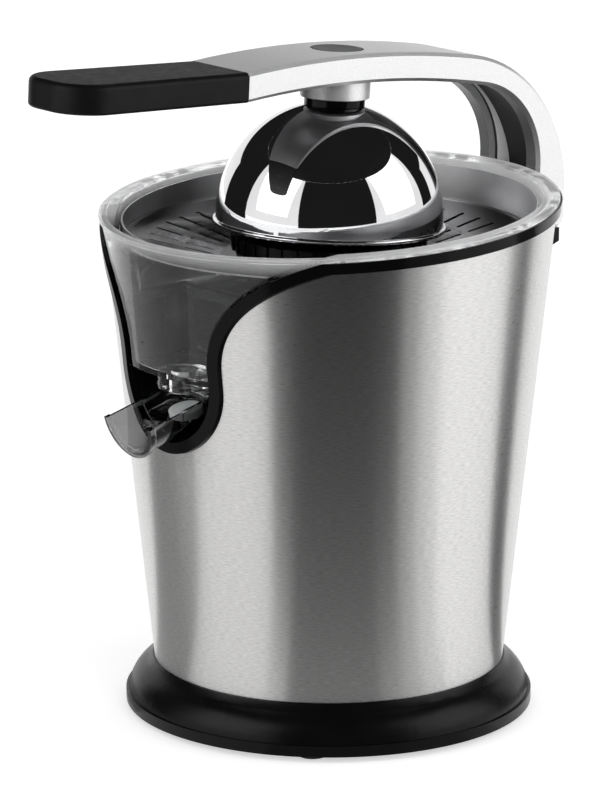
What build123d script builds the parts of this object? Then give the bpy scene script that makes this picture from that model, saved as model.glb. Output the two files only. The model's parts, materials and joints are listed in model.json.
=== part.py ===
from build123d import *
from math import acos, cos, pi, radians, sin, sqrt, tan
import os

os.makedirs("parts", exist_ok=True)

# Lever citrus juicer, in millimetres. The origin is the middle of the base on the surface it stands on.
# +Z is up, the spout and the grip face -Y, and the lever's hinge is behind at +Y.

# Clearances
fit = 0.15
running = 0.05
slack = 0.6
overrun = 6.0

# Base
stand_off = 2.5
base_radius = 87.5
base_rim_height = 4.8
base_rim_step = 1.1
base_height = 19.5
base_neck_step = 0.8
base_neck_height = 2.4
base_neck_flare = 1.7
base_skirt_bulge = 1.3
base_wall = 3.0
base_ledge_thickness = 2.5
base_ledge_width = 20.0
plate_thickness = 2.5
vent_count = 16
vent_radius = 38.0
vent_length = 22.0
vent_width = 3.2
foot_radius = 6.0
foot_inset = 2.0
foot_stem_radius = 2.4
foot_stem_length = 4.0
gland_radius = 5.0
gland_bore = 3.2
gland_length = 11.0
gland_height = 12.0

# Steel shell
shell_height = 191.45
shell_bottom_radius = 75.2
shell_top_radius = 95.65
shell_wall = 0.8
top_slope = 3.1

# Arched opening at the front of the shell
arch_half_width = 32.4
arch_below_chamber = 0.1
flank_height = 6.3
flare_width = 43.6
flare_height = 47.0
flare_shares = ((0, 0), (0, 0.43), (0.36, 0.745), (1, 1))
flare_inset_shares = ((1, 0), (1, 0.3), (0.7, 0.7), (0.4, 0.9))

# Black trim round the top and the opening
trim_border = 5.0
trim_height = 4.8
trim_proud = 1.9
trim_depth = 3.0

# Clear juice bowl
bowl_gap = 1.0
bowl_wall = 2.2
bowl_rim_inset = 0.05
bowl_rim_thickness = 1.95
bowl_depth = 32.6
bowl_foot_inset = 10.2
bowl_foot_height = 9.2
bowl_foot_flare = 1.0
bowl_shoulder_height = 8.5
bowl_ledge_width = 3.2
bowl_ledge_height = 2.5
chamber_drop = 28.0
chamber_back = 50.0
chamber_proud = 0.5
nozzle_block_radius = 11.5
nozzle_block_length = 5.5
nozzle_radius = 7.6
nozzle_bore = 5.6
nozzle_length = 7.3
tower_radius = 14.8
tower_height = 15.2

# Steel sieve
sheet = 0.8
sieve_lip = 3.4
sieve_wall_lean = 1.5
sieve_ring_width = 2.8
sieve_ring_drop = 13.4
sieve_dish_radius = 46.0
sieve_dish_depth = 9.4
sieve_neck_height = 4.9
slot_count = 40
slot_width = 2.2
slot_gap = 3.0
slot_edge = 8.0

# Reamer
press_travel = 2.5
reamer_radius = 40.5
reamer_skirt_height = 6.5
reamer_shoulder = 2.4
reamer_cone_radius = 34.0
reamer_peel_gap = 11.4
reamer_cone_bulge = 4.2
reamer_tip_radius = 5.0
reamer_tip_height = 2.5
reamer_wall = 3.0
reamer_hub_radius = 9.5
reamer_hub_rise = 4.0
reamer_rib_count = 12
reamer_rib_height = 2.0
reamer_rib_width = 2.6
skirt_rib_count = 36
skirt_rib_width = 1.6
skirt_rib_height = 1.0

# Inner deck and its posts
deck_thickness = 3.0
deck_gap = 1.8
deck_notch_gap = 2.5
deck_boss_gap = 0.6
deck_boss_height = 12.0
post_radius = 5.0
post_x = 52.0
post_y = 42.0
post_hole_depth = 12.0
screw_radius = 1.6
screw_head_radius = 3.0
screw_head_height = 1.6
screw_length = 9.0

# Spindle and its return spring
spindle_radius = 5.2
spindle_hex_flats = 9.0
spindle_journal_radius = 4.0
spindle_journal_length = 16.0
spindle_shoulder_radius = 8.0
spindle_shoulder_height = 3.0
spindle_top_share = 0.68
clip_radius = 6.5
clip_thickness = 1.5
seal_height = 5.0
seal_bore_wall = 1.8
collar_radius = 14.0
collar_height = 3.0
collar_sleeve_wall = 1.1
collar_sleeve_length = 6.0
spring_space = 15.0
spring_wire = 0.9
spring_radius = 7.6
spring_turns = 4.5

# Gear train
pressure_angle = 20.0
backlash = 0.3
addendum_share = 0.95
dedendum_share = 1.2
first_module = 0.9
second_module = 1.5
motor_pinion_teeth = 14
idler_gear_teeth = 56
idler_pinion_teeth = 14
output_gear_teeth = 42
first_gear_face = 6.0
second_gear_face = 9.0
gear_layer_gap = 2.5
output_hub_radius = 8.0
idler_axle_radius = 2.5
motor_bearing_angle = -65.0

# Gear case
case_drop = 65.0
case_wall = 2.5
case_corner = 26.0
case_clearance = 2.0
case_base_height = 15.0
case_cover_height = 19.0
spindle_bush_wall = 2.0
spindle_bush_length = 9.5
spindle_bush_rise = 3.0
case_boss_radius = 5.0
case_boss_inset = 11.0

# Start switch
switch_length = 20.0
switch_width = 10.0
switch_height = 9.0
plunger_radius = 1.5
plunger_inset = 2.5
plunger_depth = 5.0

# Motor
motor_gap = 13.0
motor_plate = 3.0
motor_skirt_wall = 2.4
motor_skirt_gap = 20.8
motor_pillar_radius = 4.0
motor_pillar_circle = 26.0
motor_pillar_angles = (60, 180, 290)
stator_radius = 36.0
stator_bore = 22.0
air_gap = 0.4
winding_height = 7.6
winding_gap = 0.4
winding_radius = 33.0
winding_bore = 23.0
motor_shaft_radius = 3.0
motor_bush_wall = 2.5
motor_bush_length = 7.0
fan_radius = 30.0
fan_disc = 1.5
fan_height = 8.0
fan_hub_radius = 6.0
fan_blades = 9
fan_blade_width = 1.4
fan_gap = 2.0
fan_floor_gap = 27.2

# Recess and spout
recess_wall = 2.6
recess_depth = 31.0
spout_radius = 14.6
spout_wall = 2.0
spout_lip = 1.0
spout_lip_length = 2.6
spout_step = 0.8
spout_step_share = 0.55
spout_slope = 14.4
spout_reach = 42.0
spout_rim_rise = 6.2
spout_pivot_drop = 12.0
spout_hub_radius = 4.5
spout_pin_radius = 2.0
seal_pad_radius = 7.0
seal_pad_thickness = 3.2
seal_pad_rise = 0.5
seal_stem_radius = 4.0

# Lever hinge
pivot_behind = 12.5
pivot_drop = 6.6
rest_tilt = 3.2
hinge_pin_radius = 3.0
hinge_bush_wall = 1.5
tongue_radius = 8.4
tongue_gap = 0.4
bracket_half_width = 15.5
bracket_root_depth = 8.2
bracket_nose = 6.0
bracket_drop = 4.0
bracket_clearance = 11.6
bracket_screw_x = 9.0
bracket_screw_inset = 3.6

# Lever arm, drawn level from the hinge pin: u runs forward, w runs up
arm_half_width = 19.5
arm_rear = 8.25
arm_inner = 9.65
arm_bottom = 10.3
arm_nose = 62.7
arm_depth = 12.3
arm_arch_radius = 470.5
arm_bevel = 1.5
arm_bend_radius = 65.5
arm_inner_bend_radius = 38.0
arm_foot_radius = 5.0
arm_back_wall = 4.5
arm_side_wall = 7.5
channel_front_gap = 22.0
channel_back_gap = 10.0
liner_wall = 1.5
liner_start = 13.0
liner_depth_share = 0.75
tang_thickness = 5.0
cap_radius = 10.7
cap_thickness = 3.2
bolt_radius = 3.0
bolt_head_flats = 10.0
bolt_head_height = 4.0
bolt_well_radius = 6.5
nut_height = 5.0
washer_radius = 7.0
washer_thickness = 1.5

# Grip
grip_half_width = 22.0
grip_length = 90.2
grip_wall = 8.0
grip_nose = 16.0
grip_corner = 17.0
grip_top_round = 2.5
grip_bottom_round = 1.5
grip_screw_shares = (0.3, 0.75)

# Press dome, its neck and the collar under the arm
dome_radius = 48.2
dome_wall = 1.6
dome_height = -1.35
dome_skirt = 3.2
dome_crown_thickness = 3.0
dome_flange_width = 1.3
dome_flange_height = 1.8
neck_radius = 12.9
neck_height = 3.5
lever_collar_radius = 14.8
lever_collar_height = 8.0
lever_collar_seat = 0.3

# Levels and radii that follow from the sizes above
base_rim_top = stand_off + base_rim_height
base_top = stand_off + base_height
base_ledge_z = base_top - base_ledge_thickness
base_neck_radius = shell_bottom_radius + base_neck_step
base_ledge_radius = base_neck_radius - base_ledge_width
plate_radius = base_radius - base_wall - fit
plate_top = stand_off + plate_thickness
foot_circle = (plate_radius - foot_radius - foot_inset) * sqrt(0.5)
shell_bottom = base_top + fit
shell_top = shell_bottom + shell_height
shell_flare = (shell_top_radius - shell_bottom_radius) / shell_height
trim_top = shell_top + trim_height
rim_top = trim_top + bowl_rim_thickness
front_reach = shell_top_radius + trim_proud + overrun
tall = rim_top + front_reach * tan(radians(top_slope)) + overrun
bowl_bottom = trim_top - bowl_depth
bowl_foot_top = bowl_bottom + bowl_foot_height
bowl_shoulder_top = bowl_foot_top + bowl_shoulder_height
bowl_foot_radius = shell_bottom_radius + (bowl_bottom - shell_bottom) * shell_flare - bowl_foot_inset
bowl_rim_radius = shell_top_radius + trim_proud - bowl_rim_inset
chamber_floor = bowl_bottom - chamber_drop
arch_z = chamber_floor - arch_below_chamber
flare_z = arch_z + flank_height
trim_bottom = arch_z - arch_half_width
nozzle_bottom = chamber_floor - nozzle_length
sieve_ring_z = rim_top - sieve_ring_drop
sieve_dish_z = sieve_ring_z - sieve_dish_depth
sieve_neck_radius = tower_radius + 2 * sheet + slack
ledge_top = sieve_ring_z - sheet - fit
reamer_bottom = sieve_dish_z + press_travel + slack
skirt_top = reamer_bottom + reamer_skirt_height
cone_bottom = skirt_top + reamer_shoulder
hub_bottom = reamer_bottom + reamer_hub_rise
deck_top = bowl_bottom - deck_gap
deck_bottom = deck_top - deck_thickness
deck_boss_radius = tower_radius - bowl_wall - deck_boss_gap
deck_boss_top = deck_top + deck_boss_height
seal_radius = spindle_radius + running + seal_bore_wall
recess_radius = arch_half_width - trim_border
recess_back = shell_bottom_radius + (arch_z - shell_bottom) * shell_flare - recess_depth

# Gear positions seen from above
first_distance = (motor_pinion_teeth + idler_gear_teeth) * first_module / 2
second_distance = (idler_pinion_teeth + output_gear_teeth) * second_module / 2
idler_at = (0, second_distance)
motor_at = (
    first_distance * cos(radians(motor_bearing_angle)),
    second_distance + first_distance * sin(radians(motor_bearing_angle)),
)
idler_gear_radius = (idler_gear_teeth / 2 + 1) * first_module
output_gear_radius = (output_gear_teeth / 2 + 1) * second_module

# Gear case levels
case_floor = deck_bottom - case_drop
case_floor_top = case_floor + case_wall
case_split = case_floor + case_base_height
case_top = case_split + case_cover_height
case_roof = case_top - case_wall
bush_top = case_floor_top + spindle_bush_rise
bush_bottom = bush_top - spindle_bush_length
first_gear_z = case_floor_top + gear_layer_gap
first_gear_top = first_gear_z + first_gear_face
second_gear_z = first_gear_top + gear_layer_gap
second_gear_top = second_gear_z + second_gear_face
case_half_width = output_gear_radius + case_clearance + case_wall
case_front = -case_half_width
case_rear = second_distance + idler_gear_radius + case_clearance + case_wall
case_middle = (case_front + case_rear) / 2
case_boss_x = case_half_width - case_boss_inset
case_boss_ys = (case_front + case_boss_inset, case_rear - case_boss_inset)
spindle_bush_radius = spindle_journal_radius + running + spindle_bush_wall
neck_bush_radius = spindle_radius + running + spindle_bush_wall
spring_top = case_top + spring_space
collar_top = spring_top + collar_height
journal_bottom = bush_bottom - clip_thickness - running
journal_top = journal_bottom + spindle_journal_length
hex_radius = spindle_hex_flats / 2 / cos(pi / 6)

# Motor levels
motor_top = case_floor - motor_gap
upper_plate_z = motor_top - motor_plate
upper_winding_z = upper_plate_z - winding_gap - winding_height
stator_top = upper_winding_z - winding_gap
fan_bottom = plate_top + fan_floor_gap
fan_top = fan_bottom + fan_height
lower_plate_z = fan_top + fan_gap
lower_winding_z = lower_plate_z + motor_plate + winding_gap
stator_bottom = lower_winding_z + winding_height + winding_gap
motor_skirt_length = (motor_top - lower_plate_z - motor_skirt_gap) / 2
skirt_inner_radius = stator_radius + fit
motor_frame_radius = skirt_inner_radius + motor_skirt_wall
motor_bush_radius = motor_shaft_radius + running + motor_bush_wall

# Spout pivot and hinge planes
spout_pivot_reach = recess_back + recess_wall + spout_hub_radius + slack
spout_pivot = (0, -spout_pivot_reach, arch_z - spout_pivot_drop)
seal_pad_reach = spout_hub_radius + seal_pad_radius + slack
spout_down = radians(spout_slope)
spout_ahead = Vector(0, -cos(spout_down), -sin(spout_down))
nozzle_reach = spout_pivot_reach + seal_pad_reach * cos(spout_down)
spout_side = Plane(origin=spout_pivot, x_dir=spout_ahead, z_dir=(-1, 0, 0))
pivot_y = bowl_rim_radius + pivot_behind
pivot_z = shell_top - pivot_drop
press_reach = pivot_y
tilt = radians(rest_tilt)
arm_ahead = Vector(0, -cos(tilt), sin(tilt))
arm_up = Vector(0, sin(tilt), cos(tilt))
arm_pivot = Vector(0, pivot_y, pivot_z)
arm_side = Plane(origin=arm_pivot, x_dir=arm_ahead, z_dir=(-1, 0, 0))
press_axis = Axis(arm_pivot + arm_ahead * press_reach, arm_up)
bush_outer_radius = hinge_pin_radius + running + hinge_bush_wall
bracket_top = pivot_z - bracket_clearance
bracket_rear = pivot_y + tongue_radius
bracket_root_y = shell_bottom_radius + (deck_top - shell_bottom) * shell_flare - bracket_root_depth
channel_half_width = arm_half_width - arm_side_wall
channel_front = press_reach - channel_front_gap
tongue_half_width = channel_half_width - tongue_gap
dome_middle = dome_height + dome_skirt
dome_crown = dome_middle + sqrt(dome_radius**2 - neck_radius**2)
neck_top = dome_crown + neck_height
lever_collar_top = neck_top + lever_collar_height
arm_under_apex = lever_collar_top + lever_collar_seat
arm_apex = arm_under_apex + arm_depth
arm_front = press_reach + arm_nose
cap_seat = arm_apex - cap_thickness
bolt_seat = cap_seat - fit - bolt_head_height
dome_inside_top = dome_crown - dome_crown_thickness
washer_bottom = dome_inside_top - washer_thickness
nut_bottom = washer_bottom - nut_height
nut_z = pivot_z + press_reach * sin(tilt) + nut_bottom * cos(tilt)
reamer_top = nut_z - reamer_peel_gap - reamer_rib_height
cone_top = reamer_top - reamer_tip_height
spindle_top = hub_bottom + (reamer_top - hub_bottom) * spindle_top_share
tang_half_width = grip_half_width - grip_wall
tang_length = grip_length - grip_nose
grip_rear = arm_front + fit
grip_front = grip_rear + grip_length
grip_screw_us = [grip_rear + tang_length * share for share in grip_screw_shares]


def save(piece, name):
    piece.part.label = name
    export_step(piece.part, f"parts/{name}.step")


def shell_radius(z):
    """Outer radius of the steel cone at a height."""
    return shell_bottom_radius + (z - shell_bottom) * shell_flare


def sloped(z):
    """Plane of the sloping top at a height on the axis, lower at the front."""
    slope = radians(top_slope)
    return Plane(origin=(0, 0, z), x_dir=(1, 0, 0), z_dir=(0, -sin(slope), cos(slope)))


def arm_plan(w):
    """Plane seen from above the lever, square to the press dome's axis."""
    return Plane(origin=arm_pivot + arm_up * w, x_dir=(1, 0, 0), z_dir=arm_up)


def tube(inner, outer, bottom, top, centre=(0, 0)):
    """Upright round tube, or a rod where the inner radius is zero."""
    with BuildPart() as piece:
        with BuildSketch(Plane(origin=(*centre, bottom))):
            Circle(outer)
            if inner > 0:
                Circle(inner, mode=Mode.SUBTRACT)
        extrude(amount=top - bottom)
    return piece


def cone_ring(inside, outside, bottom, top):
    """Ring parallel to the steel cone, between two steps from its outer face."""
    with BuildPart() as piece:
        with BuildSketch(Plane.XZ):
            with BuildLine():
                Polyline(
                    (shell_radius(bottom) + inside, bottom),
                    (shell_radius(bottom) + outside, bottom),
                    (shell_radius(top) + outside, top),
                    (shell_radius(top) + inside, top),
                    close=True,
                )
            make_face()
        revolve(axis=Axis.Z)
    return piece


def opening(inset, floor, plane):
    """Arched front opening, drawn smaller by an inset, with a flat floor where one is given."""
    half = arch_half_width - inset
    flare = [
        (
            arch_half_width + across * flare_width - in_across * inset,
            flare_z + up * flare_height + in_up * inset,
        )
        for (across, up), (in_across, in_up) in zip(flare_shares, flare_inset_shares)
    ]
    mirrored = [(-x, z) for x, z in reversed(flare)]
    with BuildSketch(plane) as outline:
        with BuildLine():
            Bezier(*flare)
            Polyline(flare[-1], (flare[-1][0], tall), (-flare[-1][0], tall), mirrored[0])
            Bezier(*mirrored)
            if floor is None:
                Line(mirrored[-1], (-half, arch_z))
                ThreePointArc((-half, arch_z), (0, arch_z - half), (half, arch_z))
                Line((half, arch_z), flare[0])
            else:
                Polyline(mirrored[-1], (-half, floor), (half, floor), flare[0])
        make_face()
    return outline.sketch


def screws(places, seat, length):
    """Equal pan-head screws: heads above their seat, shanks below it."""
    with BuildPart() as piece:
        with BuildSketch(Plane.XY.offset(seat)):
            with Locations(*places):
                Circle(screw_head_radius)
        extrude(amount=screw_head_height)
        with BuildSketch(Plane.XY.offset(seat)):
            with Locations(*places):
                Circle(screw_radius)
        extrude(amount=-length)
    return piece


def gear_points(teeth, module, turn):
    """Outline of an involute gear whose first tooth points at an angle in degrees."""
    pitch_radius = teeth * module / 2
    base = pitch_radius * cos(radians(pressure_angle))
    outer = pitch_radius + module * addendum_share
    root = pitch_radius - module * dedendum_share
    start = max(base, root)
    flank_shares = (0, 0.35, 0.7, 1)
    pressure = radians(pressure_angle)
    half_tooth = pi / (2 * teeth) - backlash / (2 * pitch_radius)
    flank = []
    for share in flank_shares:
        radius = start + (outer - start) * share
        roll = acos(base / radius)
        flank.append((radius, half_tooth + tan(pressure) - pressure - (tan(roll) - roll)))
    if root < base:
        flank.insert(0, (root, flank[0][1]))
    points = []
    for tooth in range(teeth):
        middle = radians(turn) + 2 * pi * tooth / teeth
        points += [(r * cos(middle - a), r * sin(middle - a)) for r, a in flank]
        points += [(r * cos(middle + a), r * sin(middle + a)) for r, a in reversed(flank)]
    return points


def gear(teeth, module, turn, centre, bottom, face, bore):
    """Spur gear on an upright axis with a round bore."""
    with BuildPart() as piece:
        with BuildSketch(Plane(origin=(*centre, bottom))):
            with BuildLine():
                Polyline(*gear_points(teeth, module, turn), close=True)
            make_face()
            if bore > 0:
                Circle(bore, mode=Mode.SUBTRACT)
        extrude(amount=face)
    return piece


def arm_arch(u, apex):
    """Height of an arched edge of the lever arm at a distance from the hinge."""
    radius = arm_arch_radius + apex - arm_apex
    return apex - radius + sqrt(radius**2 - (u - press_reach) ** 2)


def arm_face(rear, inner, bottom, front, top_apex, under_apex, outer_bend, inner_bend, foot):
    """Side outline of the L-shaped lever arm, level, from the hinge forward."""
    rear_corner = (-rear, arm_arch(-rear, top_apex))
    inner_corner = (inner, arm_arch(inner, under_apex))
    with BuildSketch(arm_side) as face:
        with BuildLine():
            Line((-rear, bottom), rear_corner)
            ThreePointArc(rear_corner, (press_reach / 2, arm_arch(press_reach / 2, top_apex)),
                          (front, arm_arch(front, top_apex)))
            Line((front, arm_arch(front, top_apex)), (front, arm_arch(front, under_apex)))
            ThreePointArc((front, arm_arch(front, under_apex)),
                          (press_reach / 2, arm_arch(press_reach / 2, under_apex)), inner_corner)
            Polyline(inner_corner, (inner, bottom), (-rear, bottom))
        make_face()
        fillet(face.vertices().sort_by_distance((*rear_corner, 0))[0], outer_bend)
        fillet(face.vertices().sort_by_distance((*inner_corner, 0))[0], inner_bend)
        if foot > 0:
            fillet(face.vertices().sort_by_distance((-rear, bottom, 0))[0], foot)
            fillet(face.vertices().sort_by_distance((inner, bottom, 0))[0], foot)
    return face.sketch


# Grip levels, flush with the arm's end
grip_bottom = arm_arch(arm_front, arm_under_apex)
grip_top = arm_arch(arm_front, arm_apex)
tang_middle = (grip_bottom + grip_top) / 2

# Base ring: flared skirt, top ledge and four bosses for the posts
post_places = [(x, y) for x in (-post_x, post_x) for y in (-post_y, post_y)]
skirt_foot = (base_radius - base_rim_step, base_rim_top)
skirt_head = (base_neck_radius + base_neck_flare, base_top - base_neck_height)
skirt_middle = (
    (skirt_foot[0] + skirt_head[0]) / 2 + base_skirt_bulge,
    (skirt_foot[1] + skirt_head[1]) / 2 + base_skirt_bulge,
)
with BuildPart() as base_ring:
    with BuildSketch(Plane.XZ):
        with BuildLine():
            Polyline((0, stand_off), (base_radius, stand_off), (base_radius, base_rim_top), skirt_foot)
            ThreePointArc(skirt_foot, skirt_middle, skirt_head)
            Polyline(skirt_head, (base_neck_radius, base_top), (0, base_top), (0, stand_off))
        make_face()
    revolve(axis=Axis.Z)
    with BuildSketch(Plane.XZ):
        with BuildLine():
            Polyline(
                (0, stand_off),
                (base_radius - base_wall, stand_off),
                (base_radius - base_wall, base_rim_top),
                (base_neck_radius - base_wall, base_ledge_z),
                (0, base_ledge_z),
                close=True,
            )
        make_face()
    revolve(axis=Axis.Z, mode=Mode.SUBTRACT)
    with BuildSketch(Plane.XY.offset(plate_top)):
        with Locations(*post_places):
            Circle(post_radius)
    extrude(amount=base_ledge_z - plate_top)
    with BuildSketch(Plane.XY.offset(plate_top)):
        Circle(base_ledge_radius)
        with Locations(*post_places):
            Circle(screw_radius + fit)
    extrude(amount=base_height, mode=Mode.SUBTRACT)
    with BuildSketch(Plane.XZ):
        with Locations((0, gland_height)):
            Circle(gland_radius + running)
    extrude(amount=-front_reach, mode=Mode.SUBTRACT)
save(base_ring, "base_ring")

# Bottom plate with vents, and the push-in feet
foot_places = [(x, y) for x in (-foot_circle, foot_circle) for y in (-foot_circle, foot_circle)]
with BuildPart() as base_plate:
    with BuildSketch(Plane.XY.offset(stand_off)):
        Circle(plate_radius)
        with PolarLocations(vent_radius, vent_count):
            SlotOverall(vent_length, vent_width, mode=Mode.SUBTRACT)
        with Locations(*foot_places):
            Circle(foot_stem_radius + running, mode=Mode.SUBTRACT)
        with Locations(*post_places):
            Circle(screw_radius + fit, mode=Mode.SUBTRACT)
    extrude(amount=plate_thickness)
save(base_plate, "base_plate")

with BuildPart() as rubber_feet:
    with BuildSketch(Plane.XY):
        with Locations(*foot_places):
            Circle(foot_radius)
    extrude(amount=stand_off)
    with BuildSketch(Plane.XY.offset(stand_off)):
        with Locations(*foot_places):
            Circle(foot_stem_radius)
    extrude(amount=foot_stem_length)
save(rubber_feet, "rubber_feet")

with BuildPart() as base_screws:
    with BuildSketch(Plane.XY.offset(stand_off)):
        with Locations(*post_places):
            Circle(screw_head_radius)
    extrude(amount=-screw_head_height)
    with BuildSketch(Plane.XY.offset(stand_off)):
        with Locations(*post_places):
            Circle(screw_radius)
    extrude(amount=base_height + post_hole_depth - slack)
save(base_screws, "base_screws")

with BuildPart() as cord_gland:
    with BuildSketch(Plane.XZ.offset(-base_radius + base_rim_step)):
        with Locations((0, gland_height)):
            Circle(gland_radius)
            Circle(gland_bore, mode=Mode.SUBTRACT)
    extrude(amount=gland_length)
save(cord_gland, "cord_gland")

# Steel shell: cone with a sloping top, the arched front opening and the bracket's slot behind
with BuildPart() as body_shell:
    add(cone_ring(-shell_wall, 0, shell_bottom, tall).part)
    split(bisect_by=sloped(shell_top), keep=Keep.BOTTOM)
    extrude(opening(0, None, Plane.XZ), amount=front_reach, mode=Mode.SUBTRACT)
    with BuildSketch(Plane.XZ):
        with Locations((0, (deck_top + bracket_top) / 2)):
            Rectangle(2 * (bracket_half_width + fit), bracket_top - deck_top + 2 * fit)
    extrude(amount=-front_reach, mode=Mode.SUBTRACT)
save(body_shell, "body_shell")

# Trim: border of the front opening, then the sloping ring on top of the shell
with BuildPart() as trim_edge:
    add(cone_ring(-trim_depth, trim_proud, trim_bottom - overrun, tall).part)
    split(bisect_by=sloped(trim_top), keep=Keep.BOTTOM)
    extrude(opening(fit, None, Plane.XZ), amount=front_reach, mode=Mode.INTERSECT)

with BuildPart() as top_trim:
    add(cone_ring(-trim_depth, trim_proud, flare_z, tall).part)
    split(bisect_by=sloped(trim_top), keep=Keep.BOTTOM)
    split(bisect_by=sloped(shell_top + fit), keep=Keep.TOP)
    add(trim_edge.part)
    extrude(opening(trim_border, None, Plane.XZ), amount=front_reach, mode=Mode.SUBTRACT)
save(top_trim, "top_trim")

# Recess behind the spout: a half-round cup, open to the front
recess_top = chamber_floor - fit
recess_pin_x = sqrt((recess_radius + recess_wall / 2) ** 2 - spout_pivot_drop**2)
with BuildPart() as spout_recess:
    with BuildSketch(Plane.XZ):
        with BuildLine():
            Polyline(
                (0, trim_bottom),
                (shell_radius(trim_bottom) - trim_depth - fit, trim_bottom),
                (shell_radius(recess_top) - trim_depth - fit, recess_top),
                (0, recess_top),
                close=True,
            )
        make_face()
    revolve(axis=Axis.Z)
    with BuildSketch(Plane.XZ.offset(recess_back)):
        with Locations((0, arch_z)):
            Circle(recess_radius + recess_wall)
    extrude(amount=front_reach, mode=Mode.INTERSECT)
    with BuildSketch(Plane.XZ.offset(recess_back + recess_wall)):
        with Locations((0, arch_z)):
            Circle(recess_radius)
    extrude(amount=front_reach, mode=Mode.SUBTRACT)
    with BuildSketch(Plane.YZ):
        with Locations(spout_pivot[1:]):
            Circle(spout_pin_radius + running)
    extrude(amount=recess_pin_x, both=True, mode=Mode.SUBTRACT)
save(spout_recess, "spout_recess")

with BuildPart() as spout_pin:
    with BuildSketch(Plane.YZ):
        with Locations(spout_pivot[1:]):
            Circle(spout_pin_radius)
    extrude(amount=recess_pin_x, both=True)
save(spout_pin, "spout_pin")


def bowl_profile(inset):
    """Half section of the bowl's round body, smaller by an inset."""
    step = trim_depth + bowl_gap + inset
    with BuildSketch(Plane.XZ) as section:
        with BuildLine():
            Polyline(
                (0, bowl_bottom + inset),
                (bowl_foot_radius - inset, bowl_bottom + inset),
                (bowl_foot_radius + bowl_foot_flare - inset, bowl_foot_top),
                (shell_radius(bowl_shoulder_top) - step, bowl_shoulder_top),
                (shell_radius(tall) - step, tall),
                (0, tall),
                close=True,
            )
        make_face()
    return section.sketch


def front_chamber(inset):
    """The bowl's chamber in the arched opening, smaller by an inset."""
    floor = chamber_floor + inset
    reach = chamber_proud - inset
    with BuildPart() as piece:
        with BuildSketch(Plane.XZ):
            with BuildLine():
                Polyline(
                    (0, floor), (shell_radius(floor) + reach, floor), (shell_radius(tall) + reach, tall),
                    (0, tall), close=True,
                )
            make_face()
        revolve(axis=Axis.Z)
        back = Plane.XZ.offset(chamber_back + inset)
        extrude(opening(trim_border + slack + inset, floor, back), amount=front_reach, mode=Mode.INTERSECT)
    return piece


# Clear bowl: round body, front chamber, rim, sieve ledge, nozzle and the tower round the spindle
bowl_rim = tube(0, bowl_rim_radius, bowl_shoulder_top, tall)
chamber_outside = front_chamber(0)
chamber_inside = front_chamber(bowl_wall)
ledge_radius = shell_radius(ledge_top) - trim_depth - bowl_gap - bowl_wall
nozzle_at = (0, -nozzle_reach)
with BuildPart() as bowl_flange:
    add(bowl_rim.part)
    split(bisect_by=sloped(trim_top), keep=Keep.TOP)

with BuildPart() as juice_bowl:
    revolve(bowl_profile(0), axis=Axis.Z)
    add(chamber_outside.part)
    add(bowl_flange.part)
    split(bisect_by=sloped(rim_top), keep=Keep.BOTTOM)
    revolve(bowl_profile(bowl_wall), axis=Axis.Z, mode=Mode.SUBTRACT)
    with BuildSketch(Plane.XY.offset(ledge_top)):
        Circle(ledge_radius + bowl_wall / 2)
        Circle(ledge_radius - bowl_ledge_width, mode=Mode.SUBTRACT)
    extrude(amount=-bowl_ledge_height)
    add(chamber_inside.part, mode=Mode.SUBTRACT)
    with BuildSketch(Plane(origin=(*nozzle_at, nozzle_bottom))):
        Circle(nozzle_radius)
    extrude(amount=nozzle_length)
    with BuildSketch(Plane(origin=(*nozzle_at, chamber_floor))):
        Circle(nozzle_block_radius)
    extrude(amount=-nozzle_block_length)
    with BuildSketch(Plane(origin=(*nozzle_at, nozzle_bottom))):
        Circle(nozzle_bore)
    extrude(amount=nozzle_length + bowl_wall, mode=Mode.SUBTRACT)
    with BuildSketch(Plane.XY.offset(bowl_bottom)):
        Circle(tower_radius)
    extrude(amount=tower_height)
    with BuildSketch(Plane.XY.offset(bowl_bottom)):
        Circle(tower_radius - bowl_wall)
    extrude(amount=tower_height, mode=Mode.SUBTRACT)
save(juice_bowl, "juice_bowl")

# Steel sieve: flange, slotted dish and the neck round the tower, with a wall band on the flange
sieve_wall_radius = ledge_radius - bowl_gap - sheet
sieve_ring_radius = sieve_wall_radius - sieve_ring_width
sieve_lip_radius = sieve_wall_radius + sieve_wall_lean
slot_length = (sieve_ring_radius - sieve_dish_radius - 2 * slot_gap - slot_edge) / 2
slot_inner = sieve_dish_radius + slot_gap + slot_length / 2
slot_outer = slot_inner + slot_length + slot_gap
with BuildPart() as sieve:
    with BuildSketch(Plane.XZ):
        with BuildLine():
            Polyline(
                (sieve_wall_radius + sheet, sieve_ring_z),
                (sieve_ring_radius, sieve_ring_z),
                (sieve_dish_radius, sieve_dish_z),
                (sieve_neck_radius, sieve_dish_z),
                (sieve_neck_radius, sieve_dish_z + sieve_neck_height),
                (sieve_neck_radius - sheet, sieve_dish_z + sieve_neck_height),
                (sieve_neck_radius - sheet, sieve_dish_z - sheet),
                (sieve_dish_radius, sieve_dish_z - sheet),
                (sieve_ring_radius, sieve_ring_z - sheet),
                (sieve_wall_radius + sheet, sieve_ring_z - sheet),
                close=True,
            )
        make_face()
    revolve(axis=Axis.Z)
    with BuildSketch(Plane.XY.offset(sieve_dish_z - overrun)):
        with PolarLocations(slot_inner, slot_count):
            SlotOverall(slot_length, slot_width)
        with PolarLocations(slot_outer, slot_count):
            SlotOverall(slot_length, slot_width)
    extrude(amount=sieve_dish_depth + overrun, mode=Mode.SUBTRACT)
save(sieve, "sieve")

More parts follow.
